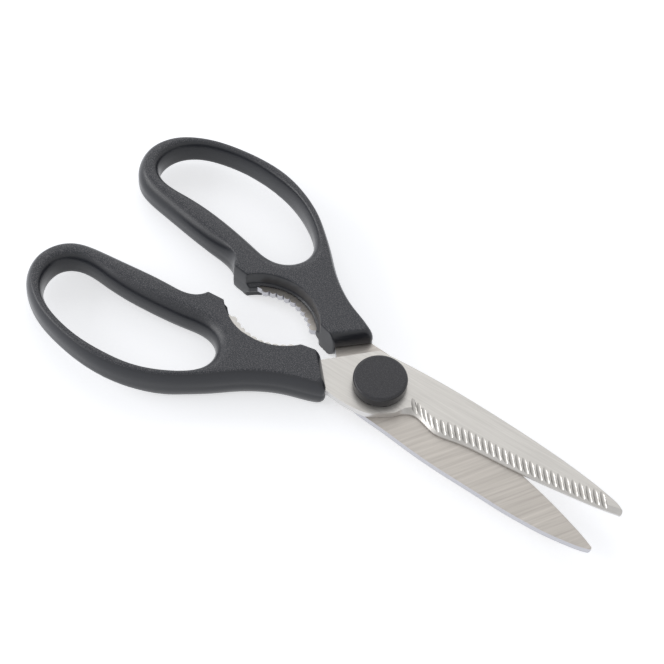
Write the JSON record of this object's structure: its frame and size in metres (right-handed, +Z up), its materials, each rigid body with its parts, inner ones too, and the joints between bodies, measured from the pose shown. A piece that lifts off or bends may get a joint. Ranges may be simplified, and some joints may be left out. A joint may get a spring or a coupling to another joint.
{
  "type": "kitchen shears",
  "caption": "Kitchen shears with two steel blades on one pivot, a bone notch, scalloped edge, toothed jaw and two moulded finger loops.",
  "frame": {"origin": "on the pivot's axis, at the flat bottom of the rear cap", "axes": "+Z up along the pivot from the rear cap to the front cap, +X towards the tips, halfway between the blades as pictured"},
  "size_m": [0.2203, 0.108, 0.0134],
  "materials": {
    "front_blade_steel": "satin stainless steel, lightly grained",
    "rear_blade_steel": "satin stainless steel, ground across",
    "handle_plastic": "charcoal moulded plastic with a fine sparkle on its flat faces",
    "cap_plastic": "charcoal moulded plastic with a fine texture",
    "pivot_steel": "turned and plated steel"
  },
  "bodies": {
    "rear_half": {"rear_blade": "rear_blade_steel", "rear_handle": "handle_plastic", "pivot_bolt": "pivot_steel", "pivot_nut": "pivot_steel", "spring_washer": "pivot_steel", "front_cap": "cap_plastic", "rear_cap": "cap_plastic"},
    "front_half": {"front_blade": "front_blade_steel", "front_handle": "handle_plastic", "slide_washer": "pivot_steel"}
  },
  "joints": [
    {"name": "blade_pivot", "type": "hinge", "parent": "rear_half", "child": "front_half", "pos_m": [0, 0, 0], "axis": [0, 0, 1], "range_deg": [-11.8, 40]}
  ]
}
